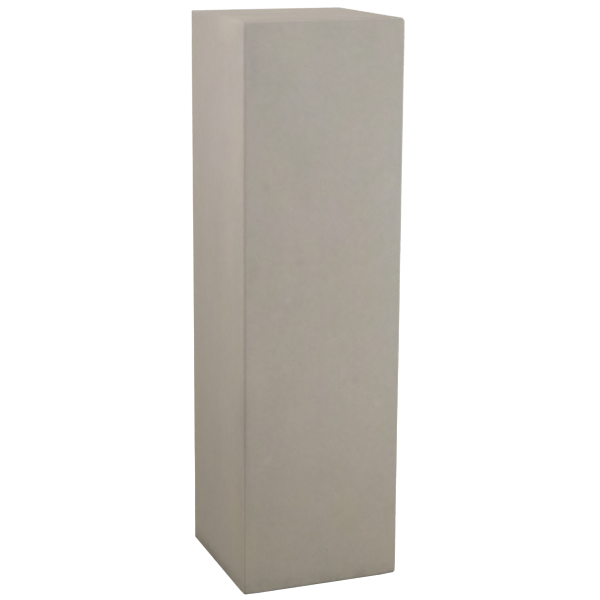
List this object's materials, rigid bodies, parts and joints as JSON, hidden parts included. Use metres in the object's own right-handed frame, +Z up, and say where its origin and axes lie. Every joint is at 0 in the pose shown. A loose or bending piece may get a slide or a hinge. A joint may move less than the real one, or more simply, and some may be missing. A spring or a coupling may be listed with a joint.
{
  "type": "square clay column",
  "caption": "Tall plain square clay column, slightly tapered and hollow, that stands free and carries a vase, planter or bust on its flat top.",
  "frame": {"origin": "middle of the foot, on the surface that the column stands on", "axes": "+Z up along the column; X and Y square to its upright faces, which are all alike"},
  "size_m": [0.293, 0.293, 1],
  "materials": {
    "clay": "matte"
  },
  "bodies": {
    "root": {"column": "clay"}
  },
  "joints": []
}
